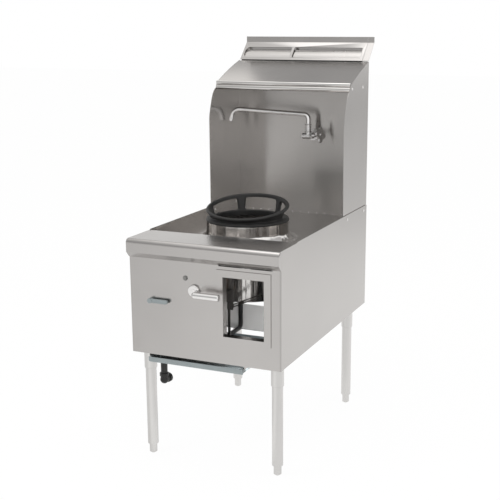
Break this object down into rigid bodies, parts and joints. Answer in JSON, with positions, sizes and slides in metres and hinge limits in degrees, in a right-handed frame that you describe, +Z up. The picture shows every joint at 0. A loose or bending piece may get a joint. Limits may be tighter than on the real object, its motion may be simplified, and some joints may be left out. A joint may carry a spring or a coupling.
{
  "type": "wok range",
  "caption": "Gas wok range on tube legs: tilted cast ring over a burner well, sunken deck, drip tray, levers and window in front, tall splash riser with hood, vent and swing tap.",
  "frame": {"origin": "centre of the bounding box's footprint, on the floor", "axes": "+X to the cook's right, +Y from the front to the back, +Z up"},
  "size_m": [0.61, 1.116, 1.587],
  "materials": {
    "casework": "fine brushed, satin",
    "deck_steel": "worn satin",
    "polished_steel": "polished almost to a mirror, upright grain",
    "leg_steel": "polished tube",
    "foot_steel": "satin",
    "cast_iron": "raw casting, slightly burnt",
    "black_pipe": "black, semi-gloss",
    "chrome": "polished",
    "grey_enamel": "blue-grey, satin",
    "brass": "machined",
    "copper_line": "drawn tube",
    "dark_plastic": "moulded",
    "ceramic": "heat-darkened"
  },
  "bodies": {
    "range": {"backsplash": "polished_steel", "base_frame": "casework", "burner_feed_pipe": "black_pipe", "burner_head": "cast_iron", "burner_support": "cast_iron", "chamber_shell": "polished_steel", "deck_pan": "deck_steel", "electrode_bracket": "casework", "flue_duct": "casework", "front_panel": "casework", "front_rail": "casework", "gas_inlet_pipe": "black_pipe", "gas_valve_body": "cast_iron", "hood_panel": "casework", "igniter_body": "dark_plastic", "igniter_electrodes": "ceramic", "inlet_elbow": "black_pipe", "inner_baffle": "casework", "leg_front_left": "leg_steel", "leg_front_right": "leg_steel", "leg_rear_left": "leg_steel", "leg_rear_right": "leg_steel", "leg_socket_front_left": "leg_steel", "leg_socket_front_right": "leg_steel", "leg_socket_rear_left": "leg_steel", "leg_socket_rear_right": "leg_steel", "pilot_burner": "brass", "pilot_tube": "copper_line", "pilot_valve": "brass", "rear_panel": "casework", "riser_side_left": "casework", "riser_side_right": "casework", "side_panel_left": "casework", "side_panel_right": "casework", "tap_body": "chrome", "tap_bonnet": "chrome", "tap_collar": "chrome", "tray_runner_left": "casework", "tray_runner_right": "casework", "vent_deflector": "casework", "vent_end_plate": "casework", "vent_panel": "casework", "well_collar": "polished_steel", "window_frame": "casework"},
    "main_lever": {"valve_lever": "chrome", "valve_stem": "chrome", "lever_cap": "chrome"},
    "small_lever": {"pilot_lever": "grey_enamel"},
    "button": {"igniter_button": "dark_plastic"},
    "tray": {"drip_tray": "grey_enamel"},
    "ring": {"wok_ring": "cast_iron"},
    "swan_spout": {"spout": "chrome", "spout_nozzle": "chrome"},
    "wheel": {"tap_handwheel": "chrome"},
    "level_front_left": {"foot_front_left": "foot_steel"},
    "level_front_right": {"foot_front_right": "foot_steel"},
    "level_rear_left": {"foot_rear_left": "foot_steel"},
    "level_rear_right": {"foot_rear_right": "foot_steel"}
  },
  "joints": [
    {"name": "main_valve_turn", "type": "hinge", "parent": "range", "child": "main_lever", "pos_m": [-0.035, -0.51, 0.697], "axis": [0, 1, 0], "range_deg": [0, 90]},
    {"name": "small_valve_turn", "type": "hinge", "parent": "range", "child": "small_lever", "pos_m": [-0.214, -0.51, 0.644], "axis": [0, 1, 0], "range_deg": [0, 90]},
    {"name": "igniter_push", "type": "slide", "parent": "range", "child": "button", "axis": [0, 1, 0], "range_m": [0, 0.0035], "stiffness_N_per_m": 800, "springref_m": -0.002},
    {"name": "tray_slide", "type": "slide", "parent": "range", "child": "tray", "axis": [0, -1, 0], "range_m": [0, 0.36]},
    {"name": "ring_lift", "type": "slide", "parent": "range", "child": "ring", "axis": [0, 0, 1], "range_m": [0, 0.12]},
    {"name": "spout_swing", "type": "hinge", "parent": "range", "child": "swan_spout", "pos_m": [0.057, 0.408, 1.2], "axis": [0, 0, 1], "range_deg": [-8, 110]},
    {"name": "tap_turn", "type": "hinge", "parent": "range", "child": "wheel", "pos_m": [0.09758, 0.39937, 1.17657], "axis": [0.9661, -0.2054, 0.1564], "range_deg": [0, 270]},
    {"name": "foot_front_left_screw", "type": "slide", "parent": "range", "child": "level_front_left", "axis": [0, 0, 1], "range_m": [-0.025, 0]},
    {"name": "foot_front_right_screw", "type": "slide", "parent": "range", "child": "level_front_right", "axis": [0, 0, 1], "range_m": [-0.025, 0]},
    {"name": "foot_rear_left_screw", "type": "slide", "parent": "range", "child": "level_rear_left", "axis": [0, 0, 1], "range_m": [-0.025, 0]},
    {"name": "foot_rear_right_screw", "type": "slide", "parent": "range", "child": "level_rear_right", "axis": [0, 0, 1], "range_m": [-0.025, 0]}
  ]
}
